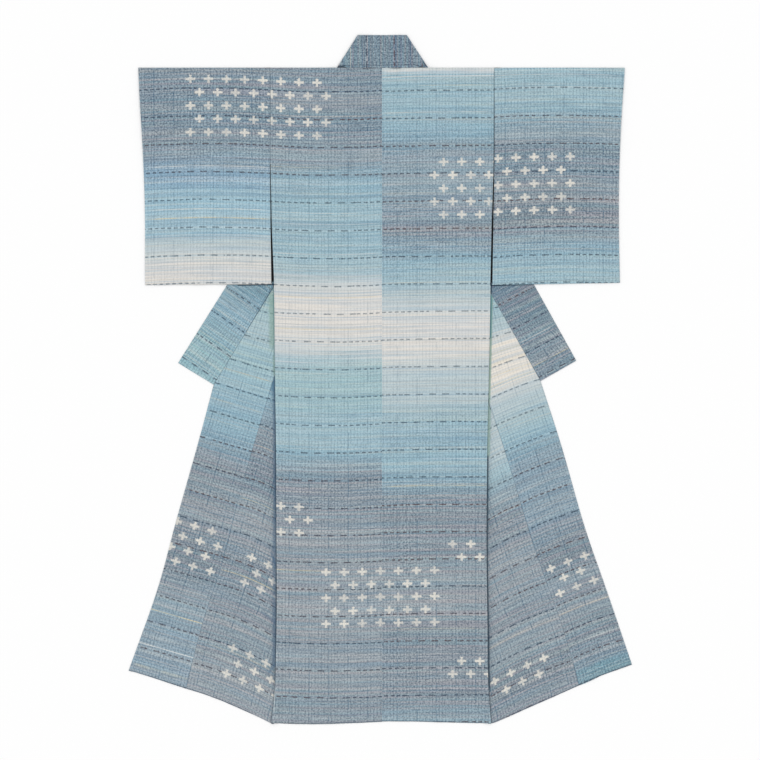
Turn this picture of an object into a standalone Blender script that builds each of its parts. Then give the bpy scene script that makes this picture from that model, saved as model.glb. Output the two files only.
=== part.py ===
# A woven kimono laid flat with its back up and both fronts turned out from under it.
# Metres. +Y runs up the garment to the neck, +X to the right, +Z up from the floor it lies on.
#
# Each piece is one wall of cloth. Its sections are worked out row by row from the edges below:
# a body length runs from the back hem over the shoulder to the front hem, a sleeve is a flattened
# tube, and the overlaps, the collar and the overcollar are single layers.

import math
from collections import namedtuple

import bmesh
import bpy

# Cloth
WALL = 0.0015  # one layer of the cloth
GAP = 0.0003  # between pieces at a seam and between layers
LAYER = WALL + GAP  # rise from one layer to the next
BEND = WALL + GAP / 2  # outer radius of a fold, measured from its outermost line

# Levels of the garment, from the neck to the hem
SHOULDER_Y = 0.810  # fold line of the shoulders and the sleeve tops
COLLAR_TOP_Y = 0.895
HEM_Y = -0.8945  # back hem at the sides
HEM_RISE = 0.005  # the back hem lies this much higher at the centre seam
CENTRE_X = 0.0044  # centre back seam

# Where an upper layer climbs over an edge below it
CLEAR = 0.070  # it is at full height this far outside the edge
CLIMB = 0.045  # and reaches the floor this much further out
CREASE_CLEAR = 0.002
CREASE_CLIMB = 0.018

# Rows across a body length and its overlap, counted from the hem
EDGE_ROWS = 10  # hem to the bottom of the collar
TIP_ROWS = 17  # hem to the overlap's pointed top
NECK_ROWS = 30  # hem to the shoulder
TIP_SHARE = 0.773  # share of the crease below the row that meets the overlap's pointed top

WEDGE_COLUMNS = 4  # side seam to crease, the same in the back and in the front below it
BACK_COLUMNS = 3  # crease to centre seam, on the floor
FRONT_COLUMNS = 3  # crease to overlap seam
OVERLAP_COLUMNS = 2
COLLAR_COLUMNS = 2
SLEEVE_COLUMNS = 9
SLEEVE_ROWS = 10
OVERCOLLAR_COLUMNS = 14
OVERCOLLAR_ROWS = 3

Point = namedtuple("Point", "x y")
Wall = namedtuple("Wall", "face wrong")  # the cloth's right side and its wrong side at one point

# Plan edges of each half, from the hem upwards. "crease" is the fold along which a front turns out.
EDGES = {
    "left": {
        "side": (
            Point(-0.2840, HEM_Y), Point(-0.2752, -0.820), Point(-0.2705, -0.688),
            Point(-0.2699, -0.365), Point(-0.2712, -0.157), Point(-0.2738, 0.014),
            Point(-0.2764, 0.248), Point(-0.2821, 0.384), Point(-0.2860, 0.576),
            Point(-0.2860, SHOULDER_Y),
        ),
        "crease": (Point(-0.2765, HEM_Y), Point(-0.0530, SHOULDER_Y)),
        "overlap_seam": (
            Point(-0.5036, -0.7927), Point(-0.4540, -0.608), Point(-0.4168, -0.497),
            Point(-0.3596, -0.277), Point(-0.2738, 0.014), Point(-0.1531, 0.438),
        ),
        "front_edge": (
            Point(-0.6539, -0.757), Point(-0.5707, -0.518), Point(-0.5338, -0.380),
            Point(-0.4698, -0.152), Point(-0.4329, -0.0138),
        ),
        "collar_seam_low": (Point(-0.4329, -0.0138), Point(-0.2774, 0.2387), Point(-0.1531, 0.438)),
        "collar_seam_high": (Point(-0.1531, 0.438), Point(-0.0632, 0.806)),
        "collar_free": (
            Point(-0.5252, 0.043), Point(-0.3978, 0.246), Point(-0.2816, 0.430),
            Point(-0.1126, 0.8085),
        ),
        "collar_tuck": (Point(-0.0480, 0.848), Point(-0.0830, 0.850)),
        "sleeve_inner": (
            Point(-0.2823, 0.248), Point(-0.2850, 0.420), Point(-0.2865, 0.576),
            Point(-0.2865, SHOULDER_Y),
        ),
        "sleeve_cuff": (
            Point(-0.6110, 0.246), Point(-0.6120, 0.457), Point(-0.6185, 0.617),
            Point(-0.6250, 0.722), Point(-0.6290, SHOULDER_Y),
        ),
    },
    "right": {
        "side": (
            Point(0.2880, HEM_Y), Point(0.2816, -0.810), Point(0.2782, -0.612),
            Point(0.2761, -0.480), Point(0.2774, -0.199), Point(0.2826, 0.035),
            Point(0.2865, 0.250), Point(0.2907, 0.425), Point(0.2940, 0.527),
            Point(0.2955, SHOULDER_Y),
        ),
        "crease": (Point(0.2805, HEM_Y), Point(0.0620, SHOULDER_Y)),
        "overlap_seam": (
            Point(0.5156, -0.7904), Point(0.4841, -0.677), Point(0.4061, -0.454),
            Point(0.3198, -0.174), Point(0.2800, -0.053), Point(0.1552, 0.453),
        ),
        "front_edge": (
            Point(0.6539, -0.741), Point(0.5850, -0.539), Point(0.5387, -0.407),
            Point(0.4657, -0.157), Point(0.4165, -0.0040),
        ),
        "collar_seam_low": (Point(0.4165, -0.0040), Point(0.2904, 0.2179), Point(0.1552, 0.453)),
        "collar_seam_high": (Point(0.1552, 0.453), Point(0.0740, 0.806)),
        "collar_free": (
            Point(0.5091, 0.049), Point(0.3994, 0.246), Point(0.2878, 0.446),
            Point(0.1240, 0.8085),
        ),
        "collar_tuck": (Point(0.0600, 0.848), Point(0.0940, 0.850)),
        "sleeve_inner": (
            Point(0.2906, 0.246), Point(0.2935, 0.420), Point(0.2960, 0.527),
            Point(0.2964, SHOULDER_Y),
        ),
        "sleeve_cuff": (
            Point(0.6222, 0.252), Point(0.6196, 0.404), Point(0.6206, 0.537),
            Point(0.6263, 0.680), Point(0.6354, SHOULDER_Y),
        ),
    },
}

# The overcollar at the nape, a trapezoid with folded ends
OVERCOLLAR_BOTTOM = (-0.1123, 0.1243)
OVERCOLLAR_TOP = (-0.0590, 0.0689)
OVERCOLLAR_FLAT = 0.012  # half width that lies on the floor at the centre
OVERCOLLAR_CLIMB = 0.026  # over which it climbs on to the collar on each side
OVERCOLLAR_DROP = 0.020  # over which it comes down from the back panels' edge

COLOURS = {
    "body": (0.30, 0.40, 0.47),
    "overlap": (0.36, 0.47, 0.54),
    "sleeve": (0.33, 0.43, 0.50),
    "collar": (0.22, 0.36, 0.48),
    "overcollar": (0.22, 0.31, 0.39),
}
ROUGHNESS = 0.82


def clear_scene():
    for obj in list(bpy.data.objects):
        bpy.data.objects.remove(obj, do_unlink=True)


def cloth_material(name, colour):
    material = bpy.data.materials.new(name)
    material.use_nodes = True
    shader = material.node_tree.nodes["Principled BSDF"]
    shader.inputs["Base Color"].default_value = (*colour, 1)
    shader.inputs["Roughness"].default_value = ROUGHNESS
    shader.inputs["Metallic"].default_value = 0
    return material


# Plan geometry


def between(a, b, share):
    return Point(a.x + (b.x - a.x) * share, a.y + (b.y - a.y) * share)


def distance(a, b):
    return math.hypot(b.x - a.x, b.y - a.y)


def towards(a, b, step):
    return between(a, b, step / distance(a, b))


def along(path, share):
    """The point at this share of the path's length."""
    left = share * sum(distance(a, b) for a, b in zip(path, path[1:]))
    for a, b in zip(path, path[1:]):
        length = distance(a, b)
        if left <= length:
            return between(a, b, left / length)
        left -= length
    return path[-1]


def x_at(path, y):
    """Where a path that only rises crosses a level."""
    for a, b in zip(path, path[1:]):
        if y <= b.y:
            return a.x + (b.x - a.x) * (y - a.y) / (b.y - a.y)
    return path[-1].x


def inside(side, point):
    """How far a point lies inside the collar's free edge. Outside it is negative."""
    path = EDGES[side]["collar_free"]
    turn = 1 if side == "left" else -1
    depths = []
    for a, b in zip(path, path[1:]):
        across = (point.x - a.x) * (b.y - a.y) - (point.y - a.y) * (b.x - a.x)
        depths.append(turn * across / distance(a, b))
    return max(depths)


def cover(side, point):
    """Underside of a layer that lies over the turned-out cloth, from the floor up to one layer."""
    share = (inside(side, point) + CLEAR + CLIMB) / CLIMB
    return LAYER * min(1, max(0, share))


# Sections of a wall


def up(point, low):
    """Cloth with its right side up."""
    return Wall((point.x, point.y, low + WALL), (point.x, point.y, low))


def down(point, low):
    """Cloth with its right side down."""
    return Wall((point.x, point.y, low), (point.x, point.y, low + WALL))


def bend(outer, inner, low):
    """The middle of a fold, halfway up the two layers that it joins. The right side is outside."""
    middle = low + (LAYER + WALL) / 2
    return Wall((outer.x, outer.y, middle), (inner.x, inner.y, middle))


def turned(wall):
    """The same section with its right side where its wrong side was."""
    return Wall(wall.wrong, wall.face)


def grid_quads(rows, columns, ring=False):
    """Corner numbers of the quads of a grid that is numbered row by row."""
    quads = []
    for i in range(rows if ring else rows - 1):
        above = (i + 1) % rows
        for j in range(columns - 1):
            a, d = i * columns + j, above * columns + j
            quads.append((a, a + 1, d + 1, d))
    return quads


def sew_sheet(name, walls, quads, material):
    """A closed solid from sections: both sides of the cloth, and a strip along each free edge."""
    count = len(walls)
    faces = [tuple(quad) for quad in quads]
    faces += [tuple(count + k for k in reversed(quad)) for quad in quads]
    edges = {(q[k], q[(k + 1) % 4]) for q in quads for k in range(4)}
    for a, b in sorted(edges):
        if (b, a) not in edges:
            faces.append((count + a, count + b, b, a))
    mesh = bpy.data.meshes.new(name)
    mesh.from_pydata([w.face for w in walls] + [w.wrong for w in walls], [], faces)
    shape = bmesh.new()
    shape.from_mesh(mesh)
    bmesh.ops.recalc_face_normals(shape, faces=shape.faces)
    bmesh.ops.triangulate(shape, faces=shape.faces)
    shape.to_mesh(mesh)
    shape.free()
    mesh.shade_smooth()
    mesh.set_sharp_from_angle(angle=math.radians(35))
    mesh.materials.append(material)
    piece = bpy.data.objects.new(name, mesh)
    bpy.context.scene.collection.objects.link(piece)
    return piece


# Rows shared by the body, the overlap and the collar of one half


def crease_point(side, row):
    if row <= TIP_ROWS:
        share = TIP_SHARE * row / TIP_ROWS
    else:
        share = TIP_SHARE + (1 - TIP_SHARE) * (row - TIP_ROWS) / (NECK_ROWS - TIP_ROWS)
    return along(EDGES[side]["crease"], share)


def seam_point(side, row):
    """Inner edge of a front: its seam to the overlap, then its seam to the collar."""
    if row <= TIP_ROWS:
        return along(EDGES[side]["overlap_seam"], row / TIP_ROWS)
    return along(EDGES[side]["collar_seam_high"], (row - TIP_ROWS) / (NECK_ROWS - TIP_ROWS))


def edge_point(side, row):
    """Outer edge of an overlap: its free front edge, then its seam to the collar."""
    if row <= EDGE_ROWS:
        return along(EDGES[side]["front_edge"], row / EDGE_ROWS)
    return along(EDGES[side]["collar_seam_low"], (row - EDGE_ROWS) / (TIP_ROWS - EDGE_ROWS))


# Pieces


def wedge_points(side, row):
    """Points from the side seam to the crease, which the back and the front below it share."""
    fold = crease_point(side, row)
    y = min(fold.y, SHOULDER_Y - BEND)
    seam = Point(x_at(EDGES[side]["side"], y), y)
    last = towards(Point(fold.x, y), seam, BEND)
    return [between(seam, last, j / (WEDGE_COLUMNS - 1)) for j in range(WEDGE_COLUMNS)]


def back_row(side, row):
    points = wedge_points(side, row)
    fold = crease_point(side, row)
    y = points[0].y
    centre = Point(CENTRE_X - math.copysign(GAP / 2, CENTRE_X - fold.x), y)
    climb = towards(Point(fold.x, y), centre, CREASE_CLEAR)
    floor = towards(Point(fold.x, y), centre, CREASE_CLEAR + CREASE_CLIMB)
    rise = [0] * (BACK_COLUMNS + 1)
    if row == 0:
        rise = [HEM_RISE * j / BACK_COLUMNS for j in range(BACK_COLUMNS + 1)]
    elif row == NECK_ROWS:
        rise = [SHOULDER_Y - y] * (BACK_COLUMNS + 1)
    walls = [up(p, cover(side, p) + LAYER) for p in points]
    walls.append(up(Point(climb.x, y + rise[0]), 2 * LAYER))
    for j in range(BACK_COLUMNS + 1):
        point = between(floor, centre, j / BACK_COLUMNS)
        walls.append(up(Point(point.x, y + rise[j]), 0))
    return walls


def shoulder_row(side):
    walls = []
    for point in wedge_points(side, NECK_ROWS):
        outer = Point(point.x, SHOULDER_Y)
        inner = Point(point.x, SHOULDER_Y - BEND + GAP / 2)
        walls.append(bend(outer, inner, cover(side, point)))
    return walls


def front_row(side, row):
    """From the side seam to the crease with the right side down, then back out with it up."""
    points = wedge_points(side, row)
    fold = crease_point(side, row)
    fold = Point(fold.x, points[0].y)
    seam = seam_point(side, row)
    walls = [down(p, cover(side, p)) for p in points]
    walls[-1] = down(points[-1], LAYER)
    walls.append(turned(bend(fold, towards(fold, points[0], BEND - GAP / 2), 0)))
    start = towards(fold, seam, BEND)
    for j in range(FRONT_COLUMNS + 1):
        walls.append(up(between(start, seam, j / FRONT_COLUMNS), 0))
    return walls


def body(side, material):
    """Back panel, shoulder fold and turned-out front, in one length of cloth."""
    back = [back_row(side, row) for row in range(NECK_ROWS + 1)]
    front = [front_row(side, row) for row in reversed(range(NECK_ROWS + 1))]
    fold = shoulder_row(side)
    walls = [wall for row in back + [fold] + front for wall in row]
    back_columns = len(back[0])
    front_columns = len(front[0])
    fold_start = len(back) * back_columns
    front_start = fold_start + len(fold)
    quads = grid_quads(len(back), back_columns)
    for a, b, c, d in grid_quads(len(front), front_columns):
        quads.append((a + front_start, b + front_start, c + front_start, d + front_start))
    last_back = fold_start - back_columns
    for low, high in ((last_back, fold_start), (fold_start, front_start)):
        for j in range(WEDGE_COLUMNS - 1):
            quads.append((low + j, low + j + 1, high + j + 1, high + j))
    return sew_sheet(f"body_{side}", walls, quads, material)


def overlap(side, material):
    """The strip that widens a front, from its seam to its free edge, with a pointed top."""
    walls = []
    for row in range(TIP_ROWS):
        seam, edge = seam_point(side, row), edge_point(side, row)
        start = towards(seam, edge, GAP)
        for j in range(OVERLAP_COLUMNS + 1):
            walls.append(up(between(start, edge, j / OVERLAP_COLUMNS), 0))
    quads = grid_quads(TIP_ROWS, OVERLAP_COLUMNS + 1)
    return sew_sheet(f"overlap_{side}", walls, quads, material)


def collar(side, material):
    """The neckband, from its end at the front edge up under the back to the nape."""
    seams = [edge_point(side, row) for row in range(EDGE_ROWS, TIP_ROWS)]
    seams += [seam_point(side, row) for row in range(TIP_ROWS, NECK_ROWS + 1)]
    last = len(seams) - 1
    rows = [(seam, along(EDGES[side]["collar_free"], k / last)) for k, seam in enumerate(seams)]
    rows.append(EDGES[side]["collar_tuck"])
    walls = []
    for seam, free in rows:
        start = towards(seam, free, GAP * 1.5)
        for j in range(COLLAR_COLUMNS + 1):
            walls.append(up(between(start, free, j / COLLAR_COLUMNS), 0))
    quads = grid_quads(len(rows), COLLAR_COLUMNS + 1)
    return sew_sheet(f"collar_{side}", walls, quads, material)


def sleeve(side, material):
    """A flattened tube: up the back layer, over the top fold, down the front layer, and round."""
    inner, cuff = EDGES[side]["sleeve_inner"], EDGES[side]["sleeve_cuff"]

    def point(i, j):
        """Grid point of a layer. The first and last rows leave room for the folds."""
        ends = []
        for path in (inner, cuff):
            low, high = path[0].y + BEND, path[-1].y - BEND
            y = low + (high - low) * i / SLEEVE_ROWS
            ends.append(Point(x_at(path, y), y))
        return between(ends[0], ends[1], j / SLEEVE_COLUMNS)

    def fold(i, turn):
        """A folded edge beside the first or last row, outwards by turn."""
        walls = []
        for j in range(SLEEVE_COLUMNS + 1):
            p = point(i, j)
            outer = Point(p.x, p.y + turn * BEND)
            walls.append(bend(outer, Point(p.x, p.y + turn * GAP / 2), cover(side, p)))
        return walls

    columns = range(SLEEVE_COLUMNS + 1)
    walls = []
    for i in range(SLEEVE_ROWS + 1):
        walls += [up(point(i, j), cover(side, point(i, j)) + LAYER) for j in columns]
    walls += fold(SLEEVE_ROWS, 1)
    for i in reversed(range(SLEEVE_ROWS + 1)):
        walls += [down(point(i, j), cover(side, point(i, j))) for j in columns]
    walls += fold(0, -1)
    quads = grid_quads(2 * SLEEVE_ROWS + 4, SLEEVE_COLUMNS + 1, ring=True)
    return sew_sheet(f"sleeve_{side}", walls, quads, material)


def overcollar(material):
    """The band over the collar at the nape. It stands out past the shoulder line."""
    walls = []
    for i in range(OVERCOLLAR_ROWS + 1):
        share = i / OVERCOLLAR_ROWS
        y = SHOULDER_Y + GAP + (COLLAR_TOP_Y - SHOULDER_Y - GAP) * share
        left, right = (
            low + (high - low) * share for low, high in zip(OVERCOLLAR_BOTTOM, OVERCOLLAR_TOP)
        )
        for j in range(OVERCOLLAR_COLUMNS + 1):
            x = left + (right - left) * j / OVERCOLLAR_COLUMNS
            rise = (abs(x - CENTRE_X) - OVERCOLLAR_FLAT) / OVERCOLLAR_CLIMB
            drop = 1 - (y - SHOULDER_Y) / OVERCOLLAR_DROP
            layers = 1 + min(1, max(0, drop))
            walls.append(up(Point(x, y), LAYER * layers * min(1, max(0, rise))))
    quads = grid_quads(OVERCOLLAR_ROWS + 1, OVERCOLLAR_COLUMNS + 1)
    return sew_sheet("overcollar", walls, quads, material)


def main():
    clear_scene()
    garment = bpy.data.objects.new("kimono", None)
    bpy.context.scene.collection.objects.link(garment)
    materials = {part: cloth_material(f"{part}_cloth", c) for part, c in COLOURS.items()}
    pieces = []
    for side in ("left", "right"):
        pieces.append(body(side, materials["body"]))
        pieces.append(overlap(side, materials["overlap"]))
        pieces.append(collar(side, materials["collar"]))
        pieces.append(sleeve(side, materials["sleeve"]))
    pieces.append(overcollar(materials["overcollar"]))
    for piece in pieces:
        piece.parent = garment


main()
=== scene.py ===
import math

import bpy
import numpy as np
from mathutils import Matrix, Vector


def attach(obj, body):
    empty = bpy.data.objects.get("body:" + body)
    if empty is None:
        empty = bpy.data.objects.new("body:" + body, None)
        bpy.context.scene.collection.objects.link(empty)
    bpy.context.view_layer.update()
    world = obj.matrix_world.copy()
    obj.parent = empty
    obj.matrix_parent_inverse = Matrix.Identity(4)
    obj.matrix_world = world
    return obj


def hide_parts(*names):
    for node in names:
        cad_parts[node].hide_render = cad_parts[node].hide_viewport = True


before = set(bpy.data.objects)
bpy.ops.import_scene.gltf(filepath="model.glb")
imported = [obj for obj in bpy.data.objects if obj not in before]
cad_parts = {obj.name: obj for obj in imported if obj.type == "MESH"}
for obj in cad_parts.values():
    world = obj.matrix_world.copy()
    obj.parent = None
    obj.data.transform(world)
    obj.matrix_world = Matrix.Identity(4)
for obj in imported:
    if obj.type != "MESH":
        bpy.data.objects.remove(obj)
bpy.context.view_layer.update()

# Metres, as in the cut parts: +Y runs up to the neck, +X to the right, the floor is z = 0.

garment = {
    "wall": .001,          # one layer of the silk
    "layer": .0018,        # from one layer to the next
    "middle": .0006,       # height of the middle of the lowest layer
    "shoulderY": .81,      # fold line of the shoulders and the sleeve tops
    "hemRise": .005,       # the back hem lies higher at the centre seam
    "centreX": .0044,      # centre back seam
    "centreGap": .00015, "overlapGap": .0004, "collarGap": .00045,  # left clear at the seams
    "coverClear": .004,    # an upper layer is at full height this far outside the collar below it
    "coverWidth": .024,    # and comes down to the floor over this width
    "creaseWidth": .016,   # the back comes down beside the turned-out front's fold over this width
    "edgeRow": 10, "tipRow": 17, "neckRow": 30, "tipShare": .773,
}

# Plan edges of each half, from the hem upwards
planEdges = {
    "left": {
        "outward": -1,
        "side": [(-.284, -.8945), (-.2752, -.82), (-.2705, -.688), (-.2699, -.365),
            (-.2712, -.157), (-.2738, .014), (-.2764, .248), (-.2821, .384), (-.286, .576),
            (-.286, .81)],
        "crease": [(-.2765, -.8945), (-.053, .81)],
        "overlapSeam": [(-.5036, -.7927), (-.454, -.608), (-.4168, -.497), (-.3596, -.277),
            (-.2738, .014), (-.1531, .438)],
        "frontEdge": [(-.6539, -.757), (-.5707, -.518), (-.5338, -.38), (-.4698, -.152),
            (-.4329, -.0138)],
        "collarSeamLow": [(-.4329, -.0138), (-.2774, .2387), (-.1531, .438)],
        "collarSeamHigh": [(-.1531, .438), (-.0632, .806)],
        "collarFree": [(-.5252, .043), (-.3978, .246), (-.2816, .43), (-.1126, .8085)],
        "collarTuck": [(-.048, .848), (-.083, .85)],
        "sleeveInner": [(-.2823, .248), (-.285, .42), (-.2865, .576), (-.2865, .81)],
        "sleeveCuff": [(-.611, .246), (-.612, .457), (-.6185, .617), (-.625, .722), (-.629, .81)],
    },
    "right": {
        "outward": 1,
        "side": [(.288, -.8945), (.2816, -.81), (.2782, -.612), (.2761, -.48), (.2774, -.199),
            (.2826, .035), (.2865, .25), (.2907, .425), (.294, .527), (.2955, .81)],
        "crease": [(.2805, -.8945), (.062, .81)],
        "overlapSeam": [(.5156, -.7904), (.4841, -.677), (.4061, -.454), (.3198, -.174),
            (.28, -.053), (.1552, .453)],
        "frontEdge": [(.6539, -.741), (.585, -.539), (.5387, -.407), (.4657, -.157),
            (.4165, -.004)],
        "collarSeamLow": [(.4165, -.004), (.2904, .2179), (.1552, .453)],
        "collarSeamHigh": [(.1552, .453), (.074, .806)],
        "collarFree": [(.5091, .049), (.3994, .246), (.2878, .446), (.124, .8085)],
        "collarTuck": [(.06, .848), (.094, .85)],
        "sleeveInner": [(.2906, .246), (.2935, .42), (.296, .527), (.2964, .81)],
        "sleeveCuff": [(.6222, .252), (.6196, .404), (.6206, .537), (.6263, .68), (.6354, .81)],
    },
}

# Soft creases shared by every layer at a place: x, y of both ends, half width, height
creases = [
    (-.215, -.9, -.196, -.52, .02, .0014), (-.118, -.91, -.137, -.6, .026, .0011),
    (-.042, -.9, -.06, -.38, .03, .0012), (-.238, -.44, -.17, .02, .024, .0009),
    (-.092, -.3, -.118, .16, .032, .001), (-.205, .07, -.243, .42, .022, .001),
    (-.06, .12, -.09, .5, .03, .0008), (-.15, .44, -.262, .74, .024, .001),
    (-.02, .56, -.15, .79, .028, .0009), (-.255, -.1, -.15, -.14, .016, .0005),
    (-.03, -.52, -.2, -.49, .014, .0005), (-.02, .3, -.15, .33, .014, .0004),
    (.058, -.91, .082, -.5, .024, .0013), (.152, -.91, .14, -.66, .02, .0015),
    (.232, -.9, .214, -.4, .026, .0011), (.052, -.36, .096, .06, .03, .001),
    (.185, -.24, .222, .18, .024, .0011), (.09, .2, .062, .56, .028, .0008),
    (.232, .24, .18, .6, .022, .0009), (.13, .54, .262, .78, .026, .001),
    (.028, .62, .12, .8, .024, .0008), (.03, -.2, .19, -.24, .014, .0005),
    (.245, -.62, .12, -.58, .014, .0005), (.26, .1, .12, .13, .014, .0004),
    (-.352, .23, -.372, .52, .026, .0015), (-.47, .23, -.452, .46, .022, .0018),
    (-.566, .24, -.56, .62, .024, .0012), (-.3, .62, -.48, .77, .03, .0011),
    (-.42, .6, -.6, .71, .022, .0009), (-.33, .5, -.52, .55, .02, .0007),
    (.36, .24, .384, .5, .024, .0016), (.466, .24, .45, .52, .026, .0014),
    (.572, .25, .56, .58, .022, .0014), (.32, .66, .5, .78, .03, .001),
    (.44, .58, .615, .68, .022, .001), (.31, .47, .5, .52, .02, .0007),
    (-.33, -.86, -.3, -.56, .018, .0013), (-.43, -.83, -.362, -.52, .022, .0012),
    (-.545, -.8, -.47, -.5, .022, .0015), (-.62, -.76, -.56, -.6, .016, .0013),
    (-.3, -.46, -.284, -.2, .014, .0008), (-.47, -.4, -.39, -.14, .02, .001),
    (-.41, .02, -.33, .14, .02, .001), (-.48, .06, -.4, .18, .014, .0008),
    (.338, -.87, .306, -.54, .018, .0014), (.446, -.82, .376, -.48, .022, .0012),
    (.56, -.79, .486, -.52, .022, .0015), (.628, -.75, .572, -.6, .016, .0012),
    (.306, -.4, .29, -.16, .014, .0008), (.452, -.34, .396, -.12, .02, .001),
    (.404, .03, .33, .15, .02, .001), (.47, .07, .404, .17, .014, .0008),
]

# How far the hem lies above its straight line, by x: the folded cloth pulls it a little
hemLine = {
    "front": {"left": [(-.638, 0), (-.62, -.001), (-.56, -.0062), (-.505, -.0114),
                       (-.458, -.0046), (-.415, -.0012), (-.32, 0), (-.286, -.002)],
              "right": [(.28, 0), (.2852, -.0006), (.2904, -.003), (.2969, -.0049),
                        (.533, -.0052), (.554, -.0025), (.572, 0)]},
    "back": {"left": [(-.276, .0018), (-.25, 0), (-.172, -.0026), (-.11, -.002), (-.046, -.001),
                      (0, 0)],
             "right": [(0, 0), (.015, .0013), (.078, .0031), (.14, .0029), (.2, .0021),
                       (.26, .0013)]},
}
hemFade = np.array([[1.0], [.8], [.5], [.2]])  # for the four rows nearest the hem


# Plan geometry

def smoothStep(value):
    value = np.clip(value, 0, 1)
    return value * value * (3 - 2 * value)


def between(start, end, share):
    return start + (end - start) * share


def bow(share):
    # 0 at both ends and 1 halfway
    return 4 * share * (1 - share)


def smoothed(values, window):
    return np.convolve(np.pad(values, window // 2, mode="edge"), np.ones(window) / window, "valid")


def lengthAlong(x, y):
    # how far each point is along the line through all of them
    return np.r_[0, np.cumsum(np.hypot(np.diff(x), np.diff(y)))]


def smoothPath(points, steps=24):
    # a soft curve through the points, as dense arrays of x, y and length so far
    points = np.array(points, float)
    if len(points) > 2:
        reach = lengthAlong(*points.T)
        slope = np.gradient(points, reach, axis=0)
        t = np.linspace(0, 1, steps, endpoint=False)[:, None]
        dense = [(2 * t ** 3 - 3 * t ** 2 + 1) * points[k]
                 + (t ** 3 - 2 * t ** 2 + t) * step * slope[k]
                 + (3 * t ** 2 - 2 * t ** 3) * points[k + 1]
                 + (t ** 3 - t ** 2) * step * slope[k + 1]
                 for k, step in enumerate(np.diff(reach))]
        points = np.vstack(dense + [points[-1:]])
    return (*points.T, lengthAlong(*points.T))


paths = {side: {name: smoothPath(edge) for name, edge in edges.items() if name != "outward"}
         for side, edges in planEdges.items()}


def along(side, name, share):
    xs, ys, reach = paths[side][name]
    return [np.interp(share * reach[-1], reach, values) for values in (xs, ys)]


def xAt(side, name, y):
    xs, ys, _ = paths[side][name]
    return np.interp(y, ys, xs)


def creasePoint(side, row):
    tip, neck, share = garment["tipRow"], garment["neckRow"], garment["tipShare"]
    return along(side, "crease", np.where(row <= tip, share * row / tip,
                                          share + (1 - share) * (row - tip) / (neck - tip)))


def twoPart(side, first, second, row, turn, last):
    # a point on the first edge up to row "turn", then on the second up to row "last"
    low = along(side, first, np.clip(row / turn, 0, 1))
    high = along(side, second, np.clip((row - turn) / (last - turn), 0, 1))
    return [np.where(row <= turn, *values) for values in zip(low, high)]


def seamPoint(side, row):
    return twoPart(side, "overlapSeam", "collarSeamHigh", row, garment["tipRow"],
                   garment["neckRow"])


def edgePoint(side, row):
    return twoPart(side, "frontEdge", "collarSeamLow", row, garment["edgeRow"], garment["tipRow"])


def hemRise(part, side, x):
    rise = np.zeros(x.shape)
    rise[:4] = np.interp(x[:4], *zip(*hemLine[part][side])) * hemFade
    return rise


def insideCollar(side, x, y):
    # how far a point lies inside the collar's free edge, less than nothing outside it
    edge, turn = planEdges[side]["collarFree"], planEdges[side]["outward"]
    return np.max([turn * ((y - ay) * (bx - ax) - (x - ax) * (by - ay)) / math.hypot(
        bx - ax, by - ay) for (ax, ay), (bx, by) in zip(edge, edge[1:])], axis=0)


def cover(side, x, y):
    # rise of a layer that lies over the turned-out cloth
    width = garment["coverWidth"]
    inside = insideCollar(side, x, y) + garment["coverClear"] + width
    return garment["layer"] * smoothStep(inside / width)


def creaseHeight(x, y):
    height = np.zeros_like(x)
    for x0, y0, x1, y1, width, rise in creases:
        dx, dy = x1 - x0, y1 - y0
        length = math.hypot(dx, dy)
        t = ((x - x0) * dx + (y - y0) * dy) / length ** 2
        off = ((x - x0) * dy - (y - y0) * dx) / length + width * .35 * np.sin(3.1 * t)
        ends = smoothStep((t + .25) / .5) * smoothStep((1.25 - t) / .5)
        height += rise * ends * np.exp(-(off / width) ** 2)
    return height


# Height and width of the turned-in cloth behind seams and edges, which lifts the layer above it
reliefs = {"side": (.0004, .014), "centre": (.0006, .012), "overlap": (.0004, .01),
           "frontEdge": (.0005, .012)}


def seamRelief(distance, seam):
    height, width = reliefs[seam]
    return height * smoothStep(distance / .0022) * (1 - smoothStep((distance - width) / .006))


# Sheets

def strip(low, high, columns, uvSet=0, material=0):
    # quads between two rows of points that start at "low" and "high"
    return [((low + j, low + j + 1, high + j + 1, high + j), uvSet, material)
            for j in range(columns - 1)]


def gridFaces(rows, columns, start=0, uvSet=0, material=0):
    return [face for low in range(start, start + (rows - 1) * columns, columns)
            for face in strip(low, low + columns, columns, uvSet, material)]


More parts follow.
